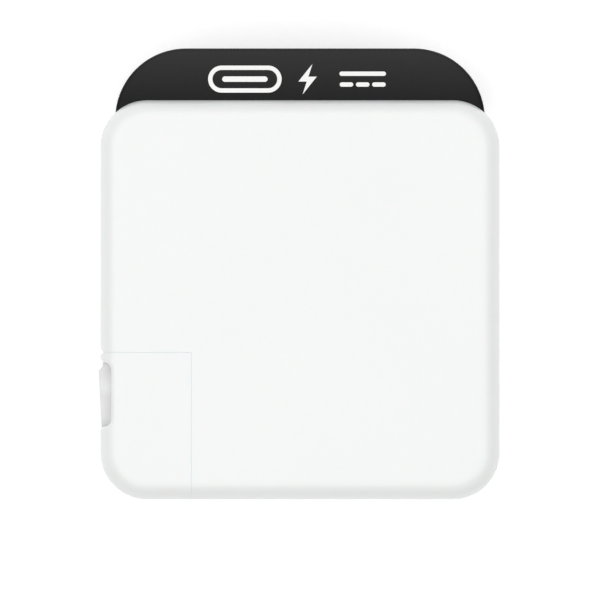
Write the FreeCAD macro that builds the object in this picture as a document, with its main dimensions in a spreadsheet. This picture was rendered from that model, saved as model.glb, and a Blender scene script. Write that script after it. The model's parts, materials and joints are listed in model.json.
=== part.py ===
import FreeCAD, Part
import os
import re
import Sketcher

# Wall power adapter for a laptop: a white square casing with a dark port cap at one end, the circuit that
# it holds, and a plug module that slides off one corner and carries two folding blades.
#
# Frame, in millimetres: the adapter lies on its rear face, which is on z = 0. Z runs through the thickness,
# +Y points to the end with the port, -X to the side where the blades fold out. The origin is the centre of
# the casing's rear face.

doc = FreeCAD.newDocument("power_adapter")
sheet = doc.addObject("Spreadsheet::Sheet", "Dims")

DIMENSIONS = (
    # casing
    ("body_side", 74.0, "width and height of the white casing"),
    ("body_thickness", 28.0, "thickness of the casing"),
    ("corner_radius", 8.7, "outline corner of the casing"),
    ("edge_radius", 3.8, "rounding between a face and the side"),
    ("wall", 2.2, "moulded wall of the shells"),
    ("parting_level", 9.0, "height of the joint between the shells"),
    ("lip_height", 1.6, "tongue of the front shell inside the rear one"),
    ("seam_size", 0.25, "width and depth of the parting groove"),
    ("post_radius", 1.5, "posts that carry the main board"),
    # dark port cap
    ("cap_width", 68.5, "width of the port cap"),
    ("cap_reach", 9.55, "how far the cap stands out of the casing"),
    ("cap_depth", 7.0, "how far the cap goes into the casing"),
    ("cap_thickness", 22.0, "thickness of the cap"),
    ("cap_corner", 13.1, "outline corner of the cap"),
    ("cap_edge", 0.7, "rounding of the cap's outer edges"),
    ("cap_wall", 2.0, "wall of the cap"),
    ("cap_gap", 0.08, "gap round the cap in its opening"),
    ("flange_size", 0.5, "step that holds the cap behind the opening"),
    # receptacle for the laptop's lead
    ("port_width", 9.3, "opening in the cap, across"),
    ("port_height", 3.5, "opening in the cap, through the thickness"),
    ("port_shell_width", 8.94, "metal shell, outside"),
    ("port_shell_height", 3.16, "metal shell, outside"),
    ("port_shell_wall", 0.3, "metal shell"),
    ("port_shell_length", 7.3, "metal shell"),
    ("port_recess", 1.0, "shell's mouth behind the cap's end"),
    ("tongue_width", 6.69, "contact tongue"),
    ("tongue_thickness", 0.7, "contact tongue"),
    ("tongue_length", 4.9, "contact tongue"),
    ("contact_pitch", 0.5, "spacing of the contacts"),
    ("contact_width", 0.25, "one contact"),
    ("contact_height", 0.06, "contact above the tongue"),
    ("contact_length", 3.6, "one contact"),
    # boards
    ("board_bottom", 5.0, "underside of the main board"),
    ("board_thickness", 1.6, "main board"),
    ("board_inset", 3.2, "main board's edge inside the casing's outline"),
    ("board_top_edge", 29.6, "main board's edge nearest the port"),
    ("small_board_thickness", 1.0, "port board"),
    ("small_board_width", 24.0, "port board"),
    ("small_board_low", 26.8, "port board's inner edge"),
    ("sheet_thickness", 0.4, "heat spreaders"),
    ("film_thickness", 0.25, "insulation film"),
    # plug module, at the corner -X, -Y
    ("plug_width", 17.0, "module, from the side inwards"),
    ("plug_height", 27.3, "module, from the bottom upwards"),
    ("plug_gap", 0.02, "gap between the module and the casing"),
    ("notch_size", 0.7, "bevel at the outer end of that gap"),
    ("groove_low", -23.5, "finger groove, lower end"),
    ("groove_high", -11.5, "finger groove, upper end"),
    ("groove_depth", 2.2, "finger groove"),
    ("groove_round", 1.6, "finger groove's inner corners"),
    ("groove_rim", 0.8, "rounding of the finger groove's rim"),
    ("rib_thickness", 5.2, "rib between the front finger groove and the rear one"),
    # blades and their rotor
    ("pivot_inset", 3.6, "pivot behind the module's side face"),
    ("pivot_rise", 6.6, "pivot above the module's bottom face"),
    ("fold_tilt", 2.9, "degrees that the folded blades stand open"),
    ("blade_width", 6.35, "blade"),
    ("blade_thickness", 1.5, "blade"),
    ("blade_spacing", 12.7, "between the blades' middles"),
    ("blade_length", 18.6, "pivot to tip"),
    ("blade_bevel", 1.2, "bevel of the tip's corners"),
    ("blade_hole", 1.6, "radius of the hole in a blade's foot"),
    ("tip_hole", 1.0, "radius of the hole near a blade's tip"),
    ("tip_hole_place", 13.8, "pivot to the hole near the tip"),
    ("rotor_radius", 3.3, "plastic rotor"),
    ("rotor_length", 17.6, "plastic rotor"),
    ("rotor_key", 0.9, "key that turns the blades with the rotor"),
    ("chamber_radius", 3.5, "hollow round the rotor"),
    ("window_half", 2.6, "half the height of the window over the rotor"),
    ("slot_width", 2.0, "slot for one blade"),
    ("pivot_pin_radius", 1.0, "pin through the rotor"),
    ("pivot_pin_length", 21.6, "pin through the rotor"),
    ("running_gap", 0.06, "radial gap of the rotor on its pin"),
    # electrical joint between the module and the adapter
    ("inlet_place", -28.5, "x of the inlet's middle"),
    ("nose_width", 8.2, "nose of the module, along X"),
    ("nose_height", 14.2, "nose of the module, along Z"),
    ("nose_length", 8.8, "nose of the module"),
    ("nose_gap", 0.25, "gap round the nose in its recess"),
    ("recess_depth", 9.3, "inlet's recess"),
    ("pin_spacing", 8.6, "between the inlet's pins"),
    ("pin_radius", 1.2, "inlet pin"),
    ("pin_recess", 1.5, "pin's tip behind the mouth"),
    ("sleeve_radius", 1.9, "socket contact, outside"),
    ("sleeve_gap", 0.05, "radial gap of a pin in its socket contact"),
    ("plate_thickness", 1.7, "plate at the nose's root"),
    ("plate_height", 22.4, "plate at the nose's root, along Z"),
    ("tail_length", 1.5, "socket contact behind the plate"),
    ("cavity_inner", -25.0, "x of the module's hollow, inner side"),
    ("cavity_outer", -30.45, "x of the module's hollow, outer side"),
    ("cavity_low", -34.4, "y of the module's hollow, lower end"),
    ("cavity_height", 22.0, "module's hollow, along Z"),
    ("spring_thickness", 0.4, "strip of a contact spring"),
    ("spring_width", 1.3, "strip of a contact spring"),
    ("riser_place", -27.2, "x of the contact springs' risers"),
    # stud that the module hangs on
    ("stud_place", -22.0, "y of the stud"),
    ("stem_radius", 1.75, "stud's stem"),
    ("stem_length", 2.3, "stud's stem"),
    ("head_radius", 3.2, "stud's head"),
    ("head_thickness", 1.2, "stud's head"),
    ("stud_gap", 0.2, "gap round the stud in its track"),
    # transformer
    ("core_x", 4.0, "transformer's middle"),
    ("core_y", -14.0, "transformer's middle"),
    ("core_width", 24.0, "ferrite core"),
    ("core_depth", 14.0, "ferrite core"),
    ("core_half_height", 8.0, "one half of the core"),
    ("core_lift", 0.5, "gap between the core and the board"),
    ("core_back", 3.0, "core's back and outer legs"),
    ("core_leg", 8.0, "core's middle leg"),
    ("bobbin_wall", 0.8, "bobbin's tube and flanges"),
    ("winding_depth", 3.3, "copper on the bobbin"),
    ("tape_thickness", 0.12, "tape round the core"),
    # other components
    ("bulk_radius", 5.0, "mains capacitor"),
    ("bulk_height", 16.5, "mains capacitor"),
    ("output_radius", 3.15, "output capacitor"),
    ("output_height", 9.0, "output capacitor"),
    ("can_rim", 0.5, "crimp and bevel of a capacitor can"),
    ("choke_ring", 5.0, "ring radius of the choke's core"),
    ("choke_core_radius", 2.0, "section of the choke's core"),
    ("choke_wire", 0.8, "wire on the choke"),
    ("lead_radius", 0.8, "insulated lead"),
    ("lead_bend", 1.2, "bend of a lead"),
    ("leg_width", 0.4, "leg of a component"),
    ("header_y", 28.2, "pins that join the two boards"),
)

for row, (alias, number, note) in enumerate(DIMENSIONS, start=1):
    sheet.set(f"A{row}", alias)
    sheet.set(f"B{row}", str(number))
    sheet.setAlias(f"B{row}", alias)
    sheet.set(f"C{row}", note)
doc.recompute()

ALIASES = {alias for alias, number, note in DIMENSIONS}
TURNS = {
    "x": FreeCAD.Rotation(FreeCAD.Vector(0, 1, 0), 90),
    "y": FreeCAD.Rotation(FreeCAD.Vector(1, 0, 0), -90),
    "z": FreeCAD.Rotation(),
}
MIDDLE = "body_thickness / 2"
BOARD_TOP = "board_bottom + board_thickness"
CAP_LOW = "body_side / 2 - cap_depth"
CAP_HIGH = "body_side / 2 + cap_reach"
BAY_X = "plug_width - body_side / 2"
BAY_Y = "plug_height - body_side / 2"
PIVOT_X = "pivot_inset - body_side / 2"
PIVOT_Y = "pivot_rise - body_side / 2"
POST_PLACES = ((31.2, 26.5), (-31.2, 26.5), (31.2, -31.2), (-13.2, -31.2))

subparts = []


# ---- small tools: formulas, primitives and booleans ----


def in_sheet(formula):
    """The formula with every name of the sheet written the way an expression reads it."""
    return re.sub(r"[a-z]\w*", lambda word: ("Dims." if word[0] in ALIASES else "") + word[0], formula)


def value(formula):
    return float(sheet.evalExpression(in_sheet(formula)))


def bind(item, path, formula):
    item.setExpression(path, in_sheet(formula))


def place(item, x, y, z):
    """Binds the three coordinates of an object's origin."""
    for axis, formula in zip("xyz", (x, y, z)):
        bind(item, "Placement.Base." + axis, formula)
    return item


def keep(name, item):
    """Marks an object as a sub-part: its label names its file."""
    item.Label = name
    subparts.append(item)
    return item


def block(name, size, centre):
    """A rectangular block with its size and its centre as formulas."""
    item = doc.addObject("Part::Box", name)
    for side, formula in zip(("Length", "Width", "Height"), size):
        bind(item, side, formula)
    return place(item, *(f"({middle}) - ({length}) / 2" for middle, length in zip(centre, size)))


def rod(name, radius, length, start, axis):
    """A cylinder that starts at a point and runs along +X, +Y or +Z."""
    item = doc.addObject("Part::Cylinder", name)
    item.Placement = FreeCAD.Placement(FreeCAD.Vector(), TURNS[axis])
    bind(item, "Radius", radius)
    bind(item, "Height", length)
    return place(item, *start)


def fused(name, pieces):
    item = doc.addObject("Part::MultiFuse", name)
    item.Shapes = list(pieces)
    return item


def cut(name, base, *tools):
    item = doc.addObject("Part::Cut", name)
    item.Base = base
    item.Tool = tools[0] if len(tools) == 1 else fused(name + "_tools", tools)
    return item


def common(name, base, tool):
    item = doc.addObject("Part::Common", name)
    item.Base = base
    item.Tool = tool
    return item


def group(name, pieces):
    """Several equal pieces, which stay separate solids, in one sub-part."""
    item = doc.addObject("Part::Compound", name)
    item.Links = list(pieces)
    return item


def rounded(name, base, radius, wanted):
    """A base with the wanted edges rounded."""
    doc.recompute()
    size = value(radius)
    item = doc.addObject("Part::Fillet", name)
    item.Base = base
    item.Edges = [(number, size, size) for number, edge in enumerate(base.Shape.Edges, 1) if wanted(edge)]
    return item


def upright(edge):
    box = edge.BoundBox
    return box.ZLength > 1 and box.XLength + box.YLength < 1e-3


def at_level(level):
    """Picks the edges that lie in the plane z = level."""
    height = value(level)
    return lambda edge: abs(edge.BoundBox.ZMin - height) + abs(edge.BoundBox.ZMax - height) < 1e-3


def stadium(name, width, height, length, start):
    """A bar along Y whose section is a stadium, with its long side along X or Z."""
    x, y, z = start
    middle_y = f"({y}) + ({length}) / 2"
    if value(width) > value(height):
        ends = [(f"{x} {sign} (({width}) - ({height})) / 2", y, z) for sign in "+-"]
        core = block(name + "_core", (f"({width}) - ({height})", length, height), (x, middle_y, z))
        radius = f"({height}) / 2"
    else:
        ends = [(x, y, f"{z} {sign} (({height}) - ({width})) / 2") for sign in "+-"]
        core = block(name + "_core", (width, length, f"({height}) - ({width})"), (x, middle_y, z))
        radius = f"({width}) / 2"
    caps = [rod(f"{name}_end_{number}", radius, length, end, "y") for number, end in enumerate(ends)]
    return fused(name, [core] + caps)


# ---- small tools: bodies and sketches ----


def sketch_on(body, name, role, level="0"):
    """A sketch on one of the body's own origin planes, moved along the plane's normal."""
    sketch = body.newObject("Sketcher::SketchObject", name)
    plane = next(feature for feature in body.Origin.OriginFeatures if feature.Role == role)
    sketch.AttachmentSupport = [(plane, "")]
    sketch.MapMode = "FlatFace"
    bind(sketch, "AttachmentOffset.Base.z", level)
    return sketch


def hold(sketch, kind, geometry, point, formula):
    """A bound distance from the sketch's origin to a point of its geometry."""
    number = sketch.addConstraint(Sketcher.Constraint(kind, -1, 1, geometry, point, value(formula)))
    bind(sketch, f"Constraints[{number}]", formula)


def outline(sketch, corners):
    """A closed outline of level and upright sides; a corner is x, y and, where it is round, a radius."""
    count = len(corners)
    points = [FreeCAD.Vector(value(corner[0]), value(corner[1]), 0) for corner in corners]
    radii = [value(corner[2]) if len(corner) > 2 else 0.0 for corner in corners]
    along = [(points[(i + 1) % count] - points[i]).normalize() for i in range(count)]
    for i in range(count):
        j = (i + 1) % count
        side_start = points[i] + along[i] * radii[i]
        side_end = points[j] - along[i] * radii[j]
        sketch.addGeometry(Part.LineSegment(side_start, side_end))
        level_side = abs(along[i].y) < 1e-6
        sketch.addConstraint(Sketcher.Constraint("Horizontal" if level_side else "Vertical", i))
        hold(sketch, "DistanceY" if level_side else "DistanceX", i, 1, corners[i][1 if level_side else 0])
    for i in range(count):
        before = (i - 1) % count
        if not radii[i]:
            sketch.addConstraint(Sketcher.Constraint("Coincident", before, 2, i, 1))
            continue
        inner = points[i] + (along[i] - along[before]) * radii[i]
        first = points[i] - along[before] * radii[i]
        last = points[i] + along[i] * radii[i]
        middle = inner + (points[i] - inner).normalize() * radii[i]
        arc = sketch.addGeometry(Part.Arc(first, middle, last))
        start_first = (sketch.getPoint(arc, 1) - first).Length < (sketch.getPoint(arc, 2) - first).Length
        near, far = (1, 2) if start_first else (2, 1)
        sketch.addConstraint(Sketcher.Constraint("Tangent", before, 2, arc, near))
        sketch.addConstraint(Sketcher.Constraint("Tangent", arc, far, i, 1))
        number = sketch.addConstraint(Sketcher.Constraint("Radius", arc, radii[i]))
        bind(sketch, f"Constraints[{number}]", corners[i][2])


def circle(sketch, x, y, radius):
    centre = FreeCAD.Vector(value(x), value(y), 0)
    ring = sketch.addGeometry(Part.Circle(centre, FreeCAD.Vector(0, 0, 1), value(radius)))
    hold(sketch, "DistanceX", ring, 3, x)
    hold(sketch, "DistanceY", ring, 3, y)
    number = sketch.addConstraint(Sketcher.Constraint("Radius", ring, value(radius)))
    bind(sketch, f"Constraints[{number}]", radius)


def pad(body, sketch, length, both_ways=False):
    feature = body.newObject("PartDesign::Pad", sketch.Name + "_pad")
    feature.Profile = sketch
    bind(feature, "Length", length)
    if both_ways:
        feature.SideType = "Symmetric"
    doc.recompute()
    return feature


def pocket(body, sketch, depth):
    """Cuts the sketch upwards, away from its plane, and checks that something was cut."""
    doc.recompute()
    before = body.Shape.Volume
    feature = body.newObject("PartDesign::Pocket", sketch.Name + "_pocket")
    feature.Profile = sketch
    feature.Reversed = True
    bind(feature, "Length", depth)
    doc.recompute()
    if body.Shape.Volume > before - 1e-3:
        raise RuntimeError(f"{sketch.Name} cuts nothing")
    return feature


def turned(body, sketch, axis):
    """A full revolution of the sketch about its own horizontal or upright axis."""
    feature = body.newObject("PartDesign::Revolution", sketch.Name + "_turned")
    feature.Profile = sketch
    feature.ReferenceAxis = (sketch, [axis])
    feature.Angle = 360
    doc.recompute()
    return feature


def round_edges(body, feature, radius, wanted):
    """Rounds the wanted edges of the body's last feature."""
    doc.recompute()
    item = body.newObject("PartDesign::Fillet", feature.Name + "_round")
    names = [f"Edge{number}" for number, edge in enumerate(feature.Shape.Edges, 1) if wanted(edge)]
    item.Base = (feature, names)
    bind(item, "Radius", radius)
    doc.recompute()
    return item


def plate(name, corners, low, thickness, holes=()):
    """A flat piece in the XY plane with an outline and round holes."""
    body = doc.addObject("PartDesign::Body", name)
    edge = sketch_on(body, name + "_edge", "XY_Plane", low)
    outline(edge, corners)
    pad(body, edge, thickness)
    if holes:
        rings = sketch_on(body, name + "_holes", "XY_Plane", low)
        for x, y, radius in holes:
            circle(rings, x, y, radius)
        pocket(body, rings, thickness)
    return body


# ---- casing ----


def rounded_prism(name, inset, low, high):
    """The casing's outline, drawn in by an amount on every side, between two levels."""
    side = f"body_side - 2 * ({inset})"
    tall = f"({high}) - ({low})"
    bar = block(name + "_bar", (side, side, tall), ("0", "0", f"(({low}) + ({high})) / 2"))
    return rounded(name, bar, f"corner_radius - ({inset})", upright)


def plug_bay(name, growth, low="-1", high="body_thickness + 1"):
    """The corner of the casing that the plug module takes, grown by an amount past its two inner sides."""
    size_x = f"plug_width + ({growth}) + 5"
    size_y = f"plug_height + ({growth}) + 5"
    tall = f"({high}) - ({low})"
    centre_x = f"{BAY_X} + ({growth}) - ({size_x}) / 2"
    centre_y = f"{BAY_Y} + ({growth}) - ({size_y}) / 2"
    return block(name, (size_x, size_y, tall), (centre_x, centre_y, f"(({low}) + ({high})) / 2"))


def casing_blank():
    """The whole outer form. Front, rear and module are cut from it, so their faces run on."""
    prism = rounded_prism("casing_prism", "0", "0", "body_thickness")
    front = rounded("casing_front_round", prism, "edge_radius", at_level("body_thickness"))
    return rounded("casing_form", front, "edge_radius", at_level("0"))


def cap_bar(name, growth, low, high):
    """The space that the port cap takes in the casing's end, grown by an amount."""
    size = (f"cap_width + 2 * ({growth})", f"({high}) - ({low})", f"cap_thickness + 2 * ({growth})")
    return block(name, size, ("0", f"(({low}) + ({high})) / 2", MIDDLE))


def seam_wedge():
    """A square bar set on edge, which bevels both sides of the module's joint at the side face."""
    side = "notch_size * sqrt(2)"
    item = doc.addObject("Part::Box", "seam_wedge")
    item.Placement = FreeCAD.Placement(FreeCAD.Vector(), FreeCAD.Rotation(FreeCAD.Vector(0, 0, 1), 45))
    bind(item, "Length", side)
    bind(item, "Width", side)
    bind(item, "Height", "body_thickness + 2")
    return place(item, "-body_side / 2", f"{BAY_Y} - notch_size", "-1")


def shells(form, wedge):
    """Front and rear shells: one hollow form, parted at a level, with a tongue that keeps them in line."""
    bay = plug_bay("bay", "0")
    hollow_bar = rounded_prism("hollow_bar", "wall", "wall", "body_thickness - wall")
    hollow = cut("hollow", hollow_bar, plug_bay("bay_and_wall", "wall"))
    solid = cut("casing_solid", form, bay)
    shell = cut("casing_shell", solid, hollow)

    lip_bar = rounded_prism("lip_bar", "wall / 2", "parting_level - lip_height", "parting_level")
    lip = cut("lip", lip_bar, plug_bay("bay_and_lip", "wall / 2"))
    wide = "body_side + 2"
    tall_front = "body_thickness + 1 - parting_level"
    upper = block("upper_half", (wide, wide, tall_front), ("0", "0", f"parting_level + ({tall_front}) / 2"))
    lower = block("lower_half", (wide, wide, "parting_level + 1"), ("0", "0", "(parting_level - 1) / 2"))
    ring_core = rounded_prism("ring_core", "seam_size", "parting_level - 1", "parting_level + 1")
    ring_slab = block("ring_slab", (wide, wide, "seam_size"), ("0", "0", "parting_level"))
    ring = cut("parting_groove", ring_slab, ring_core)

    mouth = cap_bar("cap_mouth", "cap_gap", CAP_HIGH + " - cap_reach - 10", CAP_HIGH)
    seat = cap_bar("cap_seat", "cap_gap + flange_size", CAP_LOW + " - 1", "body_side / 2 - wall")
    seat_limit = rounded_prism("cap_seat_limit", "1.2", "1.2", "body_thickness - 1.2")
    pocket_for_flange = common("cap_flange_pocket", seat, seat_limit)
    window = block(
        "inlet_window",
        ("nose_width + 2.7", "wall + 1", "nose_height + 2.3"),
        ("inlet_place", f"{BAY_Y} + wall / 2", MIDDLE),
    )
    stud_hole = rod("stud_hole", "stem_radius", "wall + 1", (f"{BAY_X} - 0.5", "stud_place", MIDDLE), "x")
    openings = fused("casing_openings", [mouth, pocket_for_flange, window, stud_hole, ring, wedge])

    front_zone = fused("front_zone", [upper, lip])
    front = cut("front_shell_cut", common("front_shell_zone", shell, front_zone), openings)
    keep("front_shell", front)

    rear_zone = cut("rear_zone", lower, lip)
    rear = cut("rear_shell_cut", common("rear_shell_zone", shell, rear_zone), openings)
    floor = "wall - 0.2"
    posts = [
        rod(f"board_post_{i}", "post_radius", f"board_bottom - ({floor})", (str(x), str(y), floor), "z")
        for i, (x, y) in enumerate(POST_PLACES)
    ]
    keep("rear_shell", fused("rear_shell_body", [rear] + posts))


def port_cap():
    """Dark end cap: hollow, open inwards, held by a flange behind the shells' opening."""
    body = doc.addObject("PartDesign::Body", "port_cap_body")
    bottom = "(body_thickness - cap_thickness) / 2"
    half = "cap_width / 2"
    face = sketch_on(body, "cap_outline", "XY_Plane", bottom)
    outline(
        face,
        [
            (f"-{half}", CAP_LOW),
            (half, CAP_LOW),
            (half, CAP_HIGH, "cap_corner"),
            (f"-{half}", CAP_HIGH, "cap_corner"),
        ],
    )
    form = pad(body, face, "cap_thickness")
    low_edge = value(CAP_LOW) + 0.01
    rims = (at_level(bottom), at_level(f"{bottom} + cap_thickness"))
    form = round_edges(
        body, form, "cap_edge", lambda e: e.BoundBox.YMax > low_edge and any(rim(e) for rim in rims)
    )
    inside = sketch_on(body, "cap_hollow", "XY_Plane", f"{bottom} + cap_wall")
    outline(
        inside,
        [
            (f"cap_wall - {half}", f"{CAP_LOW} - 1"),
            (f"{half} - cap_wall", f"{CAP_LOW} - 1"),
            (f"{half} - cap_wall", f"{CAP_HIGH} - cap_wall", "cap_corner - cap_wall"),
            (f"cap_wall - {half}", f"{CAP_HIGH} - cap_wall", "cap_corner - cap_wall"),
        ],
    )
    pocket(body, inside, "cap_thickness - 2 * cap_wall")

    flange_depth = "cap_depth - wall - 0.3"
    flange_y = f"{CAP_LOW} + ({flange_depth}) / 2"
    lips = []
    for number, sign in enumerate("+-"):
        level = f"{MIDDLE} {sign} (cap_thickness / 2 + flange_size / 2 - 0.1)"
        size = ("cap_width - 8", flange_depth, "flange_size + 0.2")
        lips.append(block(f"cap_flange_{number}", size, ("0", flange_y, level)))
    mouth_start = ("0", f"{CAP_HIGH} - cap_wall - 1", MIDDLE)
    mouth = stadium("port_mouth", "port_width", "port_height", "cap_wall + 2", mouth_start)
    bevel_start = f"{CAP_HIGH} - 0.35"
    bevel = stadium("port_bevel", "port_width + 0.5", "port_height + 0.5", "1", ("0", bevel_start, MIDDLE))
    keep("port_cap", cut("port_cap_cut", fused("port_cap_form", [body] + lips), mouth, bevel))


# ---- receptacle and its board ----


def receptacle():
    mouth_y = f"{CAP_HIGH} - port_recess"
    start_y = f"{mouth_y} - port_shell_length"
    start = ("0", start_y, MIDDLE)
    outer = stadium("port_shell_outer", "port_shell_width", "port_shell_height", "port_shell_length", start)
    inner_width = "port_shell_width - 2 * port_shell_wall"
    inner_height = "port_shell_height - 2 * port_shell_wall"
    inner = stadium("port_shell_inner", inner_width, inner_height, "port_shell_length + 1", start)
    keep("usb_c_shell", cut("usb_c_shell_cut", outer, inner))

    base_length = "port_shell_length - tongue_length - 1"
    tongue_start = f"{start_y} + {base_length}"
    tongue_y = f"{tongue_start} + tongue_length / 2"
    base = stadium("tongue_base", f"{inner_width} - 0.04", f"{inner_height} - 0.04", base_length, start)
    bar_size = ("tongue_width", "tongue_length + 0.2", "tongue_thickness")
    bar = block("tongue_bar", bar_size, ("0", tongue_y, MIDDLE))
    keep("usb_c_tongue", fused("usb_c_tongue_form", [base, bar]))

    contacts = []
    contact_y = f"{tongue_start} + tongue_length - 0.6 - contact_length / 2"
    for side in "+-":
        level = f"{MIDDLE} {side} (tongue_thickness + contact_height) / 2"
        for number in range(12):
            place_x = f"contact_pitch * {number - 5.5}"
            size = ("contact_width", "contact_length", "contact_height")
            name = f"contact_{'front' if side == '+' else 'rear'}_{number}"
            contacts.append(block(name, size, (place_x, contact_y, level)))
    keep("usb_c_contacts", group("usb_c_contact_group", contacts))


def port_board():
    top = f"{MIDDLE} - port_shell_height / 2"
    low = f"{top} - small_board_thickness"
    half = "small_board_width / 2"
    high_edge = f"{CAP_HIGH} - cap_wall - 0.2"
    corners = [
        (f"-{half}", "small_board_low"),
        (half, "small_board_low"),
        (half, high_edge, "1"),
        (f"-{half}", high_edge, "1"),
    ]
    keep("port_board", plate("port_board_plate", corners, low, "small_board_thickness"))
    keep("port_controller_chip", chip("port_controller", ("4", "4", "0.9"), ("-6.5", "34"), top, 0))

    post_height = f"{low} - ({BOARD_TOP})"
    post_size = ("0.64", "0.64", post_height)
    post_middle = f"{low} - ({post_height}) / 2"
    pins = [block(f"header_pin_{n}", post_size, (f"3 + 2 * {n}", "header_y", post_middle)) for n in range(4)]
    bar = block("header_bar", ("8.4", "1.8", "2"), ("6", "header_y", f"{low} - 1.2"))
    keep("board_header", fused("board_header_form", pins + [bar]))


# ---- main board and its components ----


def board_corners(inset, bay_growth, rise):
    """L-shaped outline inside the casing: rise lifts the upper side of its step past the plug bay."""
    edge = f"body_side / 2 - ({inset})"
    step_x = f"{BAY_X} + ({bay_growth})"
    step_y = f"{BAY_Y} + ({bay_growth}) + ({rise})"
    round_by = "corner_radius - wall - 1.2"
    return [
        (step_x, f"-({edge})"),
        (edge, f"-({edge})", round_by),
        (edge, "board_top_edge"),
        (f"-({edge})", "board_top_edge"),
        (f"-({edge})", step_y),
        (step_x, step_y),
    ]


def boards_and_sheets():
    outer = board_corners("board_inset", "3.6", "10")
    keep("main_board", plate("main_board_plate", outer, "board_bottom", "board_thickness"))
    corners = board_corners("wall + 0.8", "wall + 0.6", "0")
    holes = [(str(x), str(y), "post_radius + 0.3") for x, y in POST_PLACES]
    keep("rear_heat_spreader", plate("rear_spreader_plate", corners, "wall", "sheet_thickness", holes))
    film_low = "wall + sheet_thickness"
    keep("insulation_film", plate("film_plate", corners, film_low, "film_thickness", holes))
    front_low = "body_thickness - wall - sheet_thickness"
    keep("front_heat_spreader", plate("front_spreader_plate", corners, front_low, "sheet_thickness"))


def chip(name, size, middle, level, legs):
    """A moulded chip on a board; legs is how many stand along each of its two long sides."""
    length, width, height = size
    x, y = middle
    body = block(name + "_case", size, (x, y, f"{level} + 0.1 + ({height}) / 2"))
    pieces = [body]
    for number in range(legs):
        offset = f"({width}) * ({number} + 0.5 - {legs} / 2) / {legs}"
        for side in "+-":
            place_x = f"{x} {side} (({length}) / 2 + 0.3)"
            name_end = f"{number}{'r' if side == '+' else 'l'}"
            leg_middle = (place_x, f"{y} + {offset}", f"{level} + 0.15")
            pieces.append(block(f"{name}_leg_{name_end}", ("1.2", "leg_width", "0.3"), leg_middle))
    return fused(name, pieces) if legs else body


def can(name, radius, height, x, y):
    """A wound capacitor: a can with a bevelled top and a crimped groove near its foot."""
    body = doc.addObject("PartDesign::Body", name)
    side = sketch_on(body, name + "_side", "XZ_Plane")
    outline(
        side,
        [
            ("0", "0"),
            (radius, "0", "can_rim / 2"),
            (radius, "3 * can_rim"),
            (f"{radius} - can_rim", "3 * can_rim"),
            (f"{radius} - can_rim", "4.5 * can_rim"),
            (radius, "4.5 * can_rim"),
            (radius, height, "can_rim"),
            ("0", height),
        ],
    )
    turned(body, side, "V_Axis")
    return place(body, x, y, BOARD_TOP)


def capacitors():
    mains = (("28.2", "-28.3"), ("28.2", "-17.2"), ("28.2", "-6.1"), ("17.6", "-28.4"))
    cans = [can(f"mains_can_{i}", "bulk_radius", "bulk_height", x, y) for i, (x, y) in enumerate(mains)]
    keep("bulk_capacitors", group("bulk_capacitor_group", cans))
    output = (("19", "12"), ("26.5", "12"), ("26.5", "20"))
    cans = [
        can(f"output_can_{number}", "output_radius", "output_height", x, y)
        for number, (x, y) in enumerate(output)
    ]
    keep("output_capacitors", group("output_capacitor_group", cans))


def boxed(name, size, middle, round_by="0.5"):
    """A boxed component that stands on the main board, with its upright edges rounded."""
    x, y = middle
    base = block(name + "_box", size, (x, y, f"{BOARD_TOP} + ({size[2]}) / 2"))
    return rounded(name + "_rounded", base, round_by, upright)


def disc(name, radius, thickness, middle):
    """A coated disc that stands on edge on two legs."""
    x, y = middle
    centre_z = f"{BOARD_TOP} + ({radius}) + 1"
    flat = rod(name + "_disc", radius, thickness, (x, f"{y} - ({thickness}) / 2", centre_z), "y")
    legs = []
    for number, side in enumerate("+-"):
        foot = (f"{x} {side} ({radius}) / 2", y, BOARD_TOP)
        legs.append(rod(f"{name}_leg_{number}", "leg_width", f"({radius}) + 0.8", foot, "z"))
    return fused(name + "_form", [flat] + legs)


def filter_choke():
    """Ring core, lying flat, with one winding of wire on each half."""
    x, y = "-8.4", "13"
    tube = "choke_core_radius + choke_wire"
    level = f"{BOARD_TOP} + {tube} + 0.2"
    core = doc.addObject("Part::Torus", "choke_ring_core")
    bind(core, "Radius1", "choke_ring")
    bind(core, "Radius2", "choke_core_radius")
    keep("choke_core", place(core, x, y, level))

    halves = []
    for number, start_angle in enumerate((-65, 115)):
        turn = FreeCAD.Rotation(FreeCAD.Vector(0, 0, 1), start_angle)
        half = doc.addObject("Part::Torus", f"winding_half_{number}")
        half.Placement = FreeCAD.Placement(FreeCAD.Vector(), turn)
        half.Angle3 = 130
        bind(half, "Radius1", "choke_ring")
        bind(half, "Radius2", tube)
        halves.append(cut(f"winding_{number}", place(half, x, y, level), core))
    keep("choke_windings", group("choke_winding_group", halves))


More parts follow.
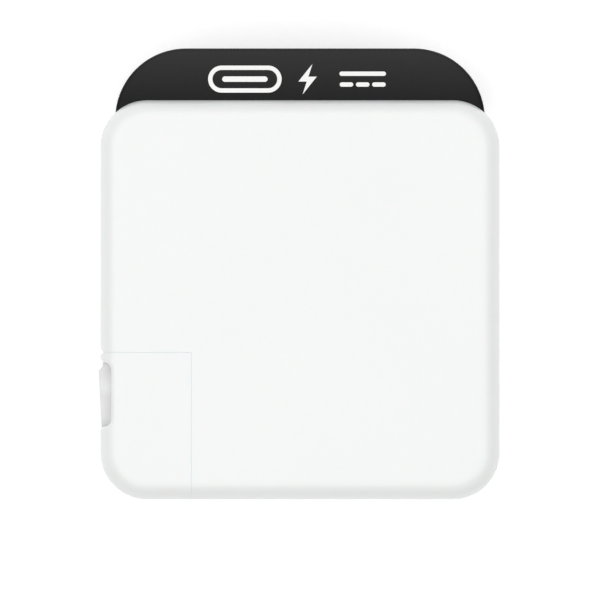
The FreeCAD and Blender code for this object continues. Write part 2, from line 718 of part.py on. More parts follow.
def transformer():
    """Two E-shaped ferrite halves that meet at mid-height, round a wound bobbin."""
    half_width = "core_width / 2"
    inner = f"{half_width} - core_back"
    leg = "core_leg / 2"
    corners = [
        (f"-{half_width}", "0"),
        (half_width, "0"),
        (half_width, "core_half_height"),
        (inner, "core_half_height"),
        (inner, "core_back"),
        (leg, "core_back"),
        (leg, "core_half_height"),
        (f"-{leg}", "core_half_height"),
        (f"-{leg}", "core_back"),
        (f"-({inner})", "core_back"),
        (f"-({inner})", "core_half_height"),
        (f"-{half_width}", "core_half_height"),
    ]
    foot = f"{BOARD_TOP} + core_lift"
    halves = {}
    for name, level, angle in (("lower", foot, 0), ("upper", f"{foot} + 2 * core_half_height", 180)):
        body = doc.addObject("PartDesign::Body", f"core_{name}_body")
        body.Placement = FreeCAD.Placement(
            FreeCAD.Vector(), FreeCAD.Rotation(FreeCAD.Vector(1, 0, 0), angle)
        )
        section = sketch_on(body, f"core_{name}_section", "XZ_Plane")
        outline(section, corners)
        pad(body, section, "core_depth", both_ways=True)
        place(body, "core_x", "core_y", level)
        halves[name] = keep(f"transformer_core_{name}", body)

    middle = f"{foot} + core_half_height"
    window = "2 * (core_half_height - core_back)"
    centre = ("core_x", "core_y", middle)
    hole = block("bobbin_hole", ("core_leg + 0.1", "core_depth + 0.1", "2 * core_half_height"), centre)
    tube_x = "core_leg + 0.1 + 2 * bobbin_wall"
    tube_y = "core_depth + 0.1 + 2 * bobbin_wall"
    tube = block("bobbin_tube", (tube_x, tube_y, f"{window} - 0.1"), centre)
    flange_x = f"{tube_x} + 2 * winding_depth"
    flange_y = f"{tube_y} + 2 * winding_depth"
    flanges = []
    for number, side in enumerate("+-"):
        level = f"{middle} {side} (({window} - 0.1) / 2 - bobbin_wall / 2)"
        size = (flange_x, flange_y, "bobbin_wall")
        flanges.append(block(f"bobbin_flange_{number}", size, ("core_x", "core_y", level)))
    keep("transformer_bobbin", cut("bobbin_cut", fused("bobbin_form", [tube] + flanges), hole))

    coil_height = f"{window} - 0.2 - 2 * bobbin_wall"
    coil = block("coil_block", (f"{flange_x} - 0.4", f"{flange_y} - 0.4", coil_height), centre)
    coil_round = rounded("coil_round", coil, "2", upright)
    keep("transformer_winding", cut("coil_cut", coil_round, tube))

    skin = "2 * tape_thickness"
    band_size = (f"core_width + {skin}", "core_depth - 4", f"2 * core_half_height + {skin}")
    band = block("tape_band", band_size, centre)
    core_space = block("tape_space", ("core_width", "core_depth", "2 * core_half_height"), centre)
    keep("transformer_tape", cut("tape_cut", band, core_space))

    pad_low = f"{foot} + 2 * core_half_height + tape_thickness"
    pad_height = f"body_thickness - wall - sheet_thickness - ({pad_low})"
    pad_size = ("core_width - 2", "core_depth - 5", pad_height)
    pad_centre = ("core_x", "core_y", f"{pad_low} + ({pad_height}) / 2")
    keep("thermal_pad", block("thermal_pad_block", pad_size, pad_centre))


def mains_side():
    keep("fuse", boxed("fuse", ("4", "8.4", "8"), ("-30.4", "15.5"), "1"))
    keep("varistor", disc("varistor", "5", "4", ("-22.6", "13")))
    keep("x_capacitor", boxed("x_capacitor", ("13", "5.6", "11"), ("-24.4", "23.6")))
    keep("bridge_rectifier", chip("bridge", ("6.4", "6.4", "2.6"), ("-10.6", "25"), BOARD_TOP, 2))
    keep("thermistor", disc("thermistor", "3.4", "3", ("-1.6", "24.6")))
    keep("primary_switch", chip("primary_switch_case", ("6.6", "6.2", "2.3"), ("-10", "-27"), BOARD_TOP, 3))
    keep("controller_chip", chip("controller", ("3.9", "4.9", "1.4"), ("-12.5", "-17"), BOARD_TOP, 4))


def output_side():
    keep("optocoupler", chip("opto", ("4.4", "4.6", "3.4"), ("4", "2.6"), BOARD_TOP, 2))
    keep("y_capacitor", disc("y_capacitor", "4", "3", ("15.4", "0.4")))
    keep("sync_rectifier", chip("sync", ("4.4", "5", "1"), ("6.4", "11"), BOARD_TOP, 4))
    keep("output_choke", boxed("output_choke", ("7", "7", "4.2"), ("12", "21"), "1.2"))


# ---- mains inlet of the adapter ----


def inlet():
    """Recess for the module's nose, with two pins, set in the wall above the plug bay."""
    inner_y = f"{BAY_Y} + wall"
    front = block(
        "inlet_front",
        ("nose_width + 2.6", "wall + 0.2", "nose_height + 2.2"),
        ("inlet_place", f"{BAY_Y} + (wall + 0.2) / 2", MIDDLE),
    )
    depth = "recess_depth + 2.4 - wall"
    back_size = ("nose_width + 4.2", depth, "nose_height + 4.2")
    back = block("inlet_back", back_size, ("inlet_place", f"{inner_y} + ({depth}) / 2", MIDDLE))
    recess = stadium(
        "inlet_recess",
        "nose_width + 2 * nose_gap",
        "nose_height + 2 * nose_gap",
        "recess_depth + 1",
        ("inlet_place", f"{BAY_Y} - 1", MIDDLE),
    )
    pins = []
    holes = []
    tip = f"{BAY_Y} + pin_recess"
    tip_y = value(tip)
    pin_length = "recess_depth + 5 - pin_recess"

    def at_tip(edge):
        return abs(edge.BoundBox.YMax - tip_y) < 1e-3

    for number, side in enumerate("+-"):
        start = ("inlet_place", tip, f"{MIDDLE} {side} pin_spacing / 2")
        bar = rod(f"inlet_pin_bar_{number}", "pin_radius", pin_length, start, "y")
        pins.append(rounded(f"inlet_pin_{number}", bar, "0.7", at_tip))
        holes.append(rod(f"inlet_pin_hole_{number}", "pin_radius", pin_length, start, "y"))
    keep("inlet_housing", cut("inlet_cut", fused("inlet_form", [front, back]), recess, *holes))
    keep("inlet_pins", group("inlet_pin_group", pins))

    pin_end = value(f"{tip} + {pin_length}")
    for name, side, run in (("live_lead", "+", 5.0), ("neutral_lead", "-", 2.4)):
        level = value(f"{MIDDLE} {side} pin_spacing / 2")
        x = value("inlet_place")
        points = [(x, pin_end, level), (x, pin_end + run, level), (x, pin_end + run, value(BOARD_TOP))]
        keep(name, lead(name + "_tube", points))


def lead(name, points):
    """An insulated lead: two straight runs joined by a tangent bend."""
    start, corner, end = (FreeCAD.Vector(*point) for point in points)
    bend = value("lead_bend")
    first = (start - corner).normalize()
    last = (end - corner).normalize()
    before = corner + first * bend
    after = corner + last * bend
    centre = corner + (first + last) * bend
    middle = centre + (corner - centre).normalize() * bend
    run = [
        Part.LineSegment(start, before).toShape(),
        Part.Arc(before, middle, after).toShape(),
        Part.LineSegment(after, end).toShape(),
    ]
    section = Part.Wire(Part.Circle(start, first, value("lead_radius")).toShape())
    tube = Part.Wire(run).makePipeShell([section], True, True)
    item = doc.addObject("Part::Feature", name)
    item.Shape = tube
    return item


def lock_stud():
    """Metal mushroom that the module's track runs on, riveted through the wall of the plug bay."""
    body = doc.addObject("PartDesign::Body", "lock_stud_body")
    half = sketch_on(body, "stud_section", "XY_Plane")
    outline(
        half,
        [
            ("-wall - 1", "0"),
            ("stem_length + head_thickness", "0"),
            ("stem_length + head_thickness", "head_radius", "0.4"),
            ("stem_length", "head_radius", "0.2"),
            ("stem_length", "stem_radius"),
            ("-wall", "stem_radius"),
            ("-wall", "head_radius"),
            ("-wall - 1", "head_radius"),
        ],
    )
    turned(body, half, "H_Axis")
    body.Placement = FreeCAD.Placement(FreeCAD.Vector(), FreeCAD.Rotation(FreeCAD.Vector(0, 0, 1), 180))
    keep("lock_stud", place(body, BAY_X, "stud_place", MIDDLE))


# ---- plug module ----


def blade_level(side):
    return f"{MIDDLE} {side} blade_spacing / 2"


def grooved(corner):
    """The module's outer form with a finger groove over each blade, whose rim is rounded."""
    width = "2 * groove_depth"
    tall = "groove_high - groove_low"
    middle = ("-body_side / 2", "(groove_low + groove_high) / 2", MIDDLE)
    bar = block("groove_bar", (width, tall, "body_thickness + 2"), middle)
    rib = block("groove_rib", (f"{width} + 2", f"{tall} + 2", "rib_thickness"), middle)
    outer_x = value("-body_side / 2")
    inner_x = value("groove_depth - body_side / 2")
    low_y = value("groove_low")
    high_y = value("groove_high")
    middle_z = value(MIDDLE)
    floor = value("rib_thickness / 2")

    def inner_corner(edge):
        return upright(edge) and edge.BoundBox.XMin > inner_x - 0.1

    def on_rim(edge):
        box = edge.BoundBox
        in_groove = box.XMax < inner_x + 0.01 and box.YMin > low_y - 0.01 and box.YMax < high_y + 0.01
        inside = box.XMax > outer_x + 0.01
        on_floor = box.ZLength < 0.01 and abs(abs(box.ZMin - middle_z) - floor) < 0.01
        return in_groove and not ((upright(edge) or on_floor) and inside)

    grooves = cut("finger_grooves", rounded("groove_round_bar", bar, "groove_round", inner_corner), rib)
    return rounded("groove_rim_round", cut("grooved_corner", corner, grooves), "groove_rim", on_rim)


def plug_housing(form, wedge):
    """Corner of the casing that slides off: slots for the blades, finger groove, track for the stud."""
    block_x = "plug_width - plug_gap"
    block_y = "plug_height - plug_gap"
    zone_size = (f"{block_x} + 5", f"{block_y} + 5", "body_thickness + 2")
    zone_x = f"{BAY_X} - plug_gap - ({block_x} + 5) / 2"
    zone_y = f"{BAY_Y} - plug_gap - ({block_y} + 5) / 2"
    corner = common("plug_corner", form, block("plug_zone", zone_size, (zone_x, zone_y, MIDDLE)))

    chamber = rod(
        "rotor_chamber",
        "chamber_radius",
        "rotor_length + 0.4",
        (PIVOT_X, PIVOT_Y, f"{MIDDLE} - rotor_length / 2 - 0.2"),
        "z",
    )
    pin_bore = rod(
        "pin_bore",
        "pivot_pin_radius",
        "pivot_pin_length",
        (PIVOT_X, PIVOT_Y, f"{MIDDLE} - pivot_pin_length / 2"),
        "z",
    )
    window = block(
        "rotor_window",
        ("pivot_inset + 1", "2 * window_half", "rotor_length + 0.4"),
        (f"{PIVOT_X} - (pivot_inset + 1) / 2", PIVOT_Y, MIDDLE),
    )
    plate_low = f"{BAY_Y} - plug_gap - plate_thickness"
    cavity = block(
        "plug_cavity",
        ("cavity_inner - cavity_outer", f"{plate_low} - cavity_low + 0.1", "cavity_height"),
        ("(cavity_inner + cavity_outer) / 2", f"({plate_low} + cavity_low + 0.1) / 2", MIDDLE),
    )
    hollows = [chamber, pin_bore, window, cavity, wedge]

    out = "pivot_inset + 1"
    folded_length = "blade_length + 0.6"
    for name, side in (("front", "+"), ("rear", "-")):
        level = blade_level(side)
        foot = (PIVOT_X, PIVOT_Y, f"{level} - slot_width / 2")
        hollows.append(rod(f"{name}_slot_foot", "blade_width / 2 + 0.3", "slot_width", foot, "z"))
        size = (out, "blade_width + 0.5", "slot_width")
        hollows.append(block(f"{name}_slot_open", size, (f"{PIVOT_X} - ({out}) / 2", PIVOT_Y, level)))
        size = (f"{out} + blade_width / 2 + 0.3", folded_length, "slot_width")
        middle = (
            f"{PIVOT_X} + (blade_width / 2 + 0.3 - ({out})) / 2",
            f"{PIVOT_Y} + ({folded_length}) / 2",
            level,
        )
        hollows.append(block(f"{name}_slot_folded", size, middle))

    plate_size = ("nose_width + 1", "plate_thickness + 1", "plate_height")
    plate_y = f"{plate_low} + (plate_thickness + 1) / 2"
    hollows.append(block("plate_seat", plate_size, ("inlet_place", plate_y, MIDDLE)))

    track_low = "stud_place - head_radius - stud_gap"
    track_high = f"{BAY_Y} + 1"
    track_length = f"{track_high} - ({track_low})"
    track_y = f"(({track_high}) + ({track_low})) / 2"
    neck_depth = "stem_length + stud_gap"
    neck_length = f"{track_length} - head_radius + stem_radius"
    neck_size = (f"{neck_depth} + 1", neck_length, "2 * (stem_radius + stud_gap)")
    neck_y = f"{track_y} + (head_radius - stem_radius) / 2"
    hollows.append(block("track_neck", neck_size, (f"{BAY_X} - ({neck_depth} - 1) / 2", neck_y, MIDDLE)))
    head_size = ("head_thickness + 2 * stud_gap", track_length, "2 * (head_radius + stud_gap)")
    head_x = f"{BAY_X} - stem_length - head_thickness / 2"
    hollows.append(block("track_head", head_size, (head_x, track_y, MIDDLE)))
    keep("plug_housing", cut("plug_housing_cut", grooved(corner), *hollows))


def plug_base():
    """Plate in the module's mating face with the nose that goes into the inlet."""
    face_y = f"{BAY_Y} - plug_gap"
    root = block(
        "base_plate",
        ("nose_width + 1", "plate_thickness", "plate_height"),
        ("inlet_place", f"{face_y} - plate_thickness / 2", MIDDLE),
    )
    start = ("inlet_place", f"{face_y} - 0.2", MIDDLE)
    nose = stadium("plug_nose", "nose_width", "nose_height", "nose_length + 0.2", start)
    sleeves = []
    holes = []
    for number, side in enumerate("+-"):
        level = f"{MIDDLE} {side} pin_spacing / 2"
        hole_start = ("inlet_place", f"{face_y} - plate_thickness - 1", level)
        hole_length = "nose_length + plate_thickness + 2"
        holes.append(rod(f"sleeve_hole_{number}", "sleeve_radius", hole_length, hole_start, "y"))
        sleeve_start = ("inlet_place", f"{face_y} - plate_thickness - tail_length", level)
        length = "nose_length + plate_thickness + tail_length - 0.4"
        tube = rod(f"sleeve_tube_{number}", "sleeve_radius", length, sleeve_start, "y")
        bore_start = ("inlet_place", face_y, level)
        bore = rod(f"sleeve_bore_{number}", "pin_radius + sleeve_gap", "nose_length + 1", bore_start, "y")
        sleeves.append(cut(f"sleeve_{number}", tube, bore))
    keep("plug_base", cut("plug_base_cut", fused("plug_base_form", [root, nose]), *holes))
    keep("socket_contacts", group("socket_contact_group", sleeves))


def contact_springs():
    """Two bent strips that join each blade's round foot to its socket contact."""
    rim_x = f"{PIVOT_X} + blade_width / 2 + 0.1"
    tail_end = f"{BAY_Y} - plug_gap - plate_thickness - tail_length"
    shelf_y = f"{PIVOT_Y} + 3"
    heel_length = "5.6"
    shelf_length = f"riser_place - ({rim_x})"
    riser_length = f"{tail_end} - ({shelf_y}) + spring_thickness / 2"
    springs = []
    for number, side in enumerate("+-"):
        level = blade_level(side)
        heel = block(
            f"spring_heel_{number}",
            ("spring_thickness", heel_length, "spring_width"),
            (f"{rim_x} + spring_thickness / 2", f"{shelf_y} - {heel_length} / 2", level),
        )
        shelf = block(
            f"spring_shelf_{number}",
            (shelf_length, "spring_thickness", "spring_width"),
            (f"{rim_x} + ({shelf_length}) / 2", shelf_y, level),
        )
        riser = block(
            f"spring_riser_{number}",
            ("spring_thickness", riser_length, "spring_width + 2"),
            (
                "riser_place - spring_thickness / 2",
                f"{tail_end} - ({riser_length}) / 2",
                f"{MIDDLE} {side} (pin_spacing / 2 + 1)",
            ),
        )
        springs.append(fused(f"contact_spring_{number}", [heel, shelf, riser]))
    keep("contact_springs", group("contact_spring_group", springs))


def detent_spring():
    """Leaf that presses on the rotor, with a foot set against the hollow's inner side."""
    leaf_thickness = "0.3"
    leaf_width = "6"
    leaf_low_x = f"{PIVOT_X} + rotor_radius + 0.1"
    leaf_length = f"{PIVOT_Y} + 2 - cavity_low"
    leaf = block(
        "detent_leaf",
        (leaf_thickness, leaf_length, leaf_width),
        (f"{leaf_low_x} + {leaf_thickness} / 2", f"cavity_low + ({leaf_length}) / 2", MIDDLE),
    )
    foot_length = f"cavity_inner - ({leaf_low_x})"
    foot = block(
        "detent_foot",
        (foot_length, "spring_thickness", leaf_width),
        (f"cavity_inner - ({foot_length}) / 2", "cavity_low + spring_thickness / 2", MIDDLE),
    )
    keep("detent_spring", fused("detent_spring_form", [leaf, foot]))


def rotor_pin():
    start = (PIVOT_X, PIVOT_Y, f"{MIDDLE} - pivot_pin_length / 2")
    keep("rotor_pin", rod("rotor_pin_bar", "pivot_pin_radius", "pivot_pin_length", start, "z"))


# ---- blades ----


def rotor_key(name):
    """The key under the pivot, which the rotor and both blades share."""
    size = ("rotor_key", "blade_width / 2 - 1.9", "rotor_length")
    return block(name, size, (PIVOT_X, f"{PIVOT_Y} - (blade_width / 2 + 0.7) / 2", MIDDLE))


def blade(name, side):
    """A flat contact blade with a round foot about the pivot, lying folded in its slot."""
    body = doc.addObject("PartDesign::Body", name + "_body")
    strip = sketch_on(body, name + "_strip", "XY_Plane")
    half = "blade_width / 2"
    outline(strip, [(f"-{half}", "0"), (half, "0"), (half, "blade_length"), (f"-{half}", "blade_length")])
    strip_pad = pad(body, strip, "blade_thickness")
    bevel = body.newObject("PartDesign::Chamfer", name + "_bevel")
    tip = value("blade_length") - 0.1
    corners = [
        f"Edge{number}"
        for number, edge in enumerate(strip_pad.Shape.Edges, 1)
        if upright(edge) and edge.BoundBox.YMin > tip
    ]
    bevel.Base = (strip_pad, corners)
    bind(bevel, "Size", "blade_bevel")
    foot = sketch_on(body, name + "_foot", "XY_Plane")
    circle(foot, "0", "0", half)
    pad(body, foot, "blade_thickness")
    holes = sketch_on(body, name + "_holes", "XY_Plane")
    circle(holes, "0", "0", "blade_hole")
    circle(holes, "0", "tip_hole_place", "tip_hole")
    pocket(body, holes, "blade_thickness")
    body.Placement = FreeCAD.Placement(FreeCAD.Vector(), FreeCAD.Rotation(FreeCAD.Vector(0, 0, 1), 1))
    bind(body, "Placement.Rotation.Angle", "fold_tilt")
    place(body, PIVOT_X, PIVOT_Y, f"{blade_level(side)} - blade_thickness / 2")
    keep(name, cut(name + "_cut", body, rotor_key(name + "_keyway")))


def blade_rotor():
    """Plastic barrel between and outside the blades, joined through their feet by a sleeve and a key."""
    flange = "(rotor_length - blade_spacing - blade_thickness) / 2"
    low = f"{MIDDLE} - rotor_length / 2"
    inner = "blade_spacing - blade_thickness"
    sleeve = rod("rotor_sleeve", "blade_hole", "rotor_length", (PIVOT_X, PIVOT_Y, low), "z")
    pieces = [sleeve, rotor_key("key")]
    for name, start, length in (
        ("rotor_barrel", f"{MIDDLE} - ({inner}) / 2", inner),
        ("rotor_rear_flange", low, flange),
        ("rotor_front_flange", f"{MIDDLE} + rotor_length / 2 - {flange}", flange),
    ):
        pieces.append(rod(name, "rotor_radius", length, (PIVOT_X, PIVOT_Y, start), "z"))
    bore = rod("rotor_bore", "pivot_pin_radius + running_gap", "rotor_length", (PIVOT_X, PIVOT_Y, low), "z")
    keep("blade_rotor", cut("rotor_cut", fused("rotor_form", pieces), bore))


# ---- the whole adapter ----


def check_and_write():
    """Stops on any failed object; otherwise writes each sub-part under its label."""
    doc.recompute()
    for item in doc.Objects:
        if {"Invalid", "Error"} & set(item.State):
            raise RuntimeError(f"{item.Name} did not compute: {item.State}")
    for item in subparts:
        if item.Shape.isNull() or not item.Shape.isValid() or not item.Shape.Solids:
            raise RuntimeError(f"{item.Label} has no valid solid")
    os.makedirs("parts", exist_ok=True)
    for item in subparts:
        item.Shape.exportStep(os.path.join("parts", item.Label + ".step"))
        box = item.Shape.BoundBox
        print(
            f"{item.Label:24s} {len(item.Shape.Solids):3d} solids {item.Shape.Volume:10.2f} mm3"
            f"  x {box.XMin:7.2f} {box.XMax:7.2f}  y {box.YMin:7.2f} {box.YMax:7.2f}"
            f"  z {box.ZMin:6.2f} {box.ZMax:6.2f}"
        )


casing_form = casing_blank()
seam_bevel = seam_wedge()
shells(casing_form, seam_bevel)
port_cap()
receptacle()
port_board()
boards_and_sheets()
capacitors()
filter_choke()
transformer()
mains_side()
output_side()
inlet()
lock_stud()
plug_housing(casing_form, seam_bevel)
plug_base()
contact_springs()
detent_spring()
rotor_pin()
blade("front_blade", "+")
blade("rear_blade", "-")
blade_rotor()
check_and_write()
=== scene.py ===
import json
import math

import bpy
from mathutils import Matrix, Vector


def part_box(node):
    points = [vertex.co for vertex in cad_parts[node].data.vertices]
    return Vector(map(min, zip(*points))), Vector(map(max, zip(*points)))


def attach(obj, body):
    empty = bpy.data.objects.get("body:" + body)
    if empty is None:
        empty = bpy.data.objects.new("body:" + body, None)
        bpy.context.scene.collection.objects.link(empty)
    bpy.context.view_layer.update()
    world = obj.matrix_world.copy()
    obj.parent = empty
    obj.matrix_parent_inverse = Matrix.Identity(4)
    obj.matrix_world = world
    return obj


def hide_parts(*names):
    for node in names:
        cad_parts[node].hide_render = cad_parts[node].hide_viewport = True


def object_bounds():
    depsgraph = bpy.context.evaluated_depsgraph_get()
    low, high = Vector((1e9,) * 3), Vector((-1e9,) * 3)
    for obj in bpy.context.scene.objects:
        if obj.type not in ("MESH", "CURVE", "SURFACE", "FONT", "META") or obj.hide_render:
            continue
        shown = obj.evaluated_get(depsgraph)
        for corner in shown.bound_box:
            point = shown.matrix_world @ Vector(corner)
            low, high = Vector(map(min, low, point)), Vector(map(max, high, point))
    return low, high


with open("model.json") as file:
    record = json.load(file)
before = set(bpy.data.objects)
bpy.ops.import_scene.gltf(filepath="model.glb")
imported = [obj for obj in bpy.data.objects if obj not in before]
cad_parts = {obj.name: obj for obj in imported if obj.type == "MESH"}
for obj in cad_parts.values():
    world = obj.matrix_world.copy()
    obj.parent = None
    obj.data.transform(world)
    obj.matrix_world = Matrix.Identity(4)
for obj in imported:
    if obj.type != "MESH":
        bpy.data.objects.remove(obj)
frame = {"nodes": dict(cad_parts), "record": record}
cad_low, cad_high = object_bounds()

MM = 0.001
nodes = frame["nodes"]
slot_of = {part["node"]: part["material_slot"] for part in frame["record"]["subparts"]}


# ---- the studio ----

face_low, face_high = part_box("front_shell")
CASING_MIDDLE = (face_low + face_high) / 2
CASING_SIDE = face_high.x - face_low.x
FRONT = face_high.z
EDGE_ROUND = 3.8 * MM
LENS = 240.0
SENSOR = 36.0
VIEW_SHARE = 1.502
ROOM_LIGHT = 0.27
WALL_LIGHT = 1.1
TABLE_REACH = 1.6
TABLE_DROP = 0.02 * MM


def camera():
    """Looks straight down on the front, from as far off as its long lens needs."""
    data = bpy.data.cameras.new("studio_camera")
    data.lens = LENS
    data.sensor_width = SENSOR
    data.clip_start = 0.01
    data.clip_end = 10.0
    item = bpy.data.objects.new("studio_camera", data)
    bpy.context.collection.objects.link(item)
    away = CASING_SIDE * VIEW_SHARE * LENS / SENSOR
    item.location = (CASING_MIDDLE.x, CASING_MIDDLE.y, FRONT - EDGE_ROUND + away)
    bpy.context.scene.camera = item


def softbox(name, place, size, power):
    """A large flat lamp that faces the adapter."""
    data = bpy.data.lights.new(name, "AREA")
    data.shape = "RECTANGLE"
    data.size, data.size_y = size
    data.energy = power
    item = bpy.data.objects.new(name, data)
    bpy.context.collection.objects.link(item)
    item.location = place
    item.rotation_mode = "QUATERNION"
    item.rotation_quaternion = (-Vector(place)).to_track_quat("-Z", "Y")


def white_room():
    """Even white walls: full white where they are seen, weaker as light on the adapter."""
    world = bpy.data.worlds.new("white_room")
    world.use_nodes = True
    tree = world.node_tree
    seen = tree.nodes.new("ShaderNodeLightPath").outputs["Is Camera Ray"]
    ends = {"Value": seen, "To Min": ROOM_LIGHT, "To Max": WALL_LIGHT}
    wall = put(tree, "ShaderNodeMapRange", ends).outputs[0]
    tree.links.new(wall, tree.nodes["Background"].inputs["Strength"])
    tree.nodes["Background"].inputs["Color"].default_value = rgba(1, 1, 1)
    bpy.context.scene.world = world


def table_top():
    """A white table just below the adapter's rear face."""
    mesh = bpy.data.meshes.new("table_top")
    corners = [(x * TABLE_REACH, y * TABLE_REACH, 0) for x, y in ((-1, -1), (1, -1), (1, 1), (-1, 1))]
    mesh.from_pydata(corners, [], [(0, 1, 2, 3)])
    mesh.materials.append(table_paper())
    table = bpy.data.objects.new("table_top", mesh)
    table.location.z = cad_low.z - TABLE_DROP
    bpy.context.collection.objects.link(table)


def studio():
    """A broad lamp overhead, and two weak ones that lift the left side and the top."""
    bpy.context.scene.view_settings.view_transform = "Standard"
    white_room()
    table_top()
    softbox("overhead", place=(-0.04, 0.06, 1.0), size=(1.7, 1.7), power=13.85)
    softbox("left_key", place=(-0.80, 0.30, 0.60), size=(0.6, 0.9), power=0.15)
    softbox("top_fill", place=(0.10, 1.0, 0.45), size=(1.0, 0.5), power=0.4)


# ---- writing materials ----


def put(tree, kind, inputs=None, **settings):
    """A node with its settings; each input is a value or another node's output."""
    item = tree.nodes.new(kind)
    for key, setting in settings.items():
        setattr(item, key, setting)
    for key, given in (inputs or {}).items():
        if isinstance(given, bpy.types.NodeSocket):
            tree.links.new(given, item.inputs[key])
        else:
            item.inputs[key].default_value = given
    return item


def group(name, inputs, outputs):
    """An empty node group with named sockets: (name, type, value) in, (name, type) out."""
    tree = bpy.data.node_groups.new(name, "ShaderNodeTree")
    for label, kind, start in inputs:
        socket = tree.interface.new_socket(label, in_out="INPUT", socket_type=kind)
        socket.default_value = start
    for label, kind in outputs:
        tree.interface.new_socket(label, in_out="OUTPUT", socket_type=kind)
    return tree, tree.nodes.new("NodeGroupInput").outputs, tree.nodes.new("NodeGroupOutput")


FLOAT, COLOUR, VECTOR = "NodeSocketFloat", "NodeSocketColor", "NodeSocketVector"
FINISH_OUTPUTS = [("Colour", COLOUR), ("Roughness", FLOAT), ("Normal", VECTOR)]


def ramp(tree, source, low, high, to_low=0.0, to_high=1.0):
    """A value stretched so that low and high become 0 and 1, or two other ends, and held there."""
    ends = {"Value": source, "From Min": low, "From Max": high, "To Min": to_low, "To Max": to_high}
    return put(tree, "ShaderNodeMapRange", ends).outputs[0]


def arithmetic(tree, operation, *values):
    """A sum or product of values and other nodes' outputs."""
    return put(tree, "ShaderNodeMath", dict(enumerate(values)), operation=operation).outputs[0]


def blend(tree, mask, first, second):
    """One colour that turns into another where the mask is 1."""
    return put(tree, "ShaderNodeMix", {0: mask, 6: first, 7: second}, data_type="RGBA").outputs[2]


def noise(tree, place, scale, detail, roughness=0.5):
    """Cloudy unevenness, from 0 to 1, with a number of clouds per metre."""
    inputs = {"Vector": place, "Scale": scale, "Detail": detail, "Roughness": roughness}
    return put(tree, "ShaderNodeTexNoise", inputs).outputs["Fac"]


def bump(tree, height, strength, distance, under=None):
    """A relief, on top of another relief if one is given."""
    inputs = {"Strength": strength, "Distance": distance, "Height": height}
    if under:
        inputs["Normal"] = under
    return put(tree, "ShaderNodeBump", inputs).outputs[0]


def join(tree, out, colour, roughness, normal):
    """Links a group's three results to its outputs."""
    for label, socket in (("Colour", colour), ("Roughness", roughness), ("Normal", normal)):
        tree.links.new(socket, out.inputs[label])


def moulded_skin():
    """Injection-moulded plastic: fine tool grain, slow sink and flow unevenness, faint handling scuffs."""
    settings = [
        ("Colour", COLOUR, (0.8, 0.8, 0.8, 1)),
        ("Shade", COLOUR, (0.7, 0.7, 0.7, 1)),
        ("Grain Size", FLOAT, 0.2 * MM),
        ("Grain Depth", FLOAT, 0.1),
        ("Roughness", FLOAT, 0.4),
        ("Scuffs", FLOAT, 0.1),
    ]
    tree, given, out = group("moulded_skin", settings, FINISH_OUTPUTS)
    place = put(tree, "ShaderNodeTexCoord").outputs["Object"]
    fineness = arithmetic(tree, "DIVIDE", 1.0, given["Grain Size"])
    grain = noise(tree, place, fineness, 3.0, 0.6)
    flow = noise(tree, place, 28.0, 2.0, 0.45)
    colour = blend(tree, ramp(tree, flow, 0.35, 0.65), given["Colour"], given["Shade"])

    rubbing = {"Vector": place, "Rotation": (0.3, 0.2, 0.9), "Scale": (1400, 190, 700)}
    scuff = noise(tree, put(tree, "ShaderNodeMapping", rubbing).outputs[0], 1.0, 4.0)
    lift = arithmetic(tree, "MULTIPLY", ramp(tree, scuff, 0.55, 0.8), given["Scuffs"])
    grained = arithmetic(tree, "MULTIPLY_ADD", grain, 0.05, given["Roughness"])
    roughness = arithmetic(tree, "ADD", grained, lift)

    sink = bump(tree, flow, 0.04, 0.6 * MM)
    join(tree, out, colour, roughness, bump(tree, grain, given["Grain Depth"], 0.02 * MM, sink))
    return tree


def drawn_metal():
    """Rolled or turned metal: fine lines along one direction, and slow clouding of its finish."""
    settings = [
        ("Colour", COLOUR, (0.7, 0.7, 0.7, 1)),
        ("Clouding", COLOUR, (0.6, 0.6, 0.6, 1)),
        ("Line Scale", VECTOR, (300.0, 9000.0, 9000.0)),
        ("Line Depth", FLOAT, 0.1),
        ("Roughness", FLOAT, 0.3),
    ]
    tree, given, out = group("drawn_metal", settings, FINISH_OUTPUTS)
    place = put(tree, "ShaderNodeTexCoord").outputs["Object"]
    stretched = {0: place, 1: given["Line Scale"]}
    along = put(tree, "ShaderNodeVectorMath", stretched, operation="MULTIPLY").outputs[0]
    lines = noise(tree, along, 1.0, 3.0, 0.65)
    clouds = ramp(tree, noise(tree, place, 260.0, 3.0), 0.3, 0.7)
    colour = blend(tree, clouds, given["Colour"], given["Clouding"])
    lined = arithmetic(tree, "MULTIPLY_ADD", lines, 0.16, given["Roughness"])
    roughness = arithmetic(tree, "MULTIPLY_ADD", clouds, 0.06, lined)
    join(tree, out, colour, roughness, bump(tree, lines, given["Line Depth"], 0.01 * MM))
    return tree


def speckle():
    """Two-tone grain for sintered, laminated and potted parts."""
    settings = [
        ("Colour", COLOUR, (0.1, 0.1, 0.1, 1)),
        ("Fleck", COLOUR, (0.2, 0.2, 0.2, 1)),
        ("Fleck Size", FLOAT, 0.3 * MM),
        ("Roughness", FLOAT, 0.6),
        ("Depth", FLOAT, 0.2),
    ]
    tree, given, out = group("speckle", settings, FINISH_OUTPUTS)
    place = put(tree, "ShaderNodeTexCoord").outputs["Object"]
    fineness = arithmetic(tree, "DIVIDE", 1.0, given["Fleck Size"])
    cells = put(tree, "ShaderNodeTexVoronoi", {"Vector": place, "Scale": fineness}).outputs["Distance"]
    dust = noise(tree, place, fineness, 5.0, 0.7)
    mask = ramp(tree, dust, 0.45, 0.7)
    colour = blend(tree, mask, given["Colour"], given["Fleck"])
    roughness = arithmetic(tree, "MULTIPLY_ADD", mask, 0.12, given["Roughness"])
    height = arithmetic(tree, "ADD", cells, dust)
    join(tree, out, colour, roughness, bump(tree, height, given["Depth"], 0.03 * MM))
    return tree


SKIN, METAL, SPECKLE = moulded_skin(), drawn_metal(), speckle()


